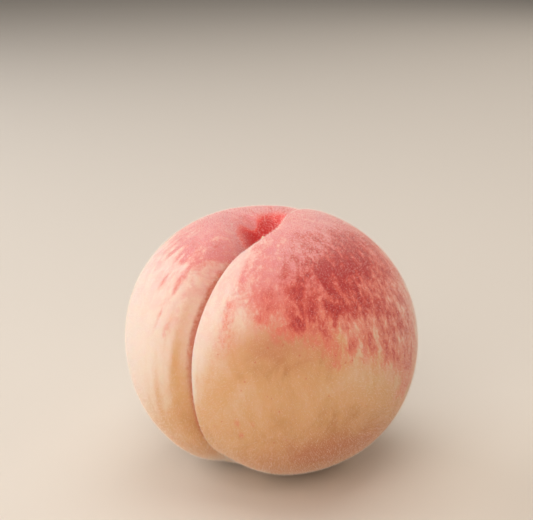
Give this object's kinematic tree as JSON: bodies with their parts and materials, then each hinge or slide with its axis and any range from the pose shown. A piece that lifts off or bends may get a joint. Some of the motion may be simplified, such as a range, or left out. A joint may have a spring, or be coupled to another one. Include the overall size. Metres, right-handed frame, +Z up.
{
  "type": "peach",
  "caption": "Ripe white peach with a deep suture, a pinched stalk hollow and a short broken stalk stub, resting on a small flat spot.",
  "frame": {"origin": "on the surface it rests on, at the middle of the fruit's footprint", "axes": "+Z up, towards the stalk end; the suture runs down the front, towards -Y; +X towards the larger cheek, which bulges over the suture"},
  "size_m": [0.0864, 0.0872, 0.0799],
  "materials": {
    "peach_skin": "downy, matt, faintly translucent",
    "dry_stalk": "dry bark with a pale broken end"
  },
  "bodies": {
    "root": {"fruit": "peach_skin", "stalk": "dry_stalk"}
  },
  "joints": []
}
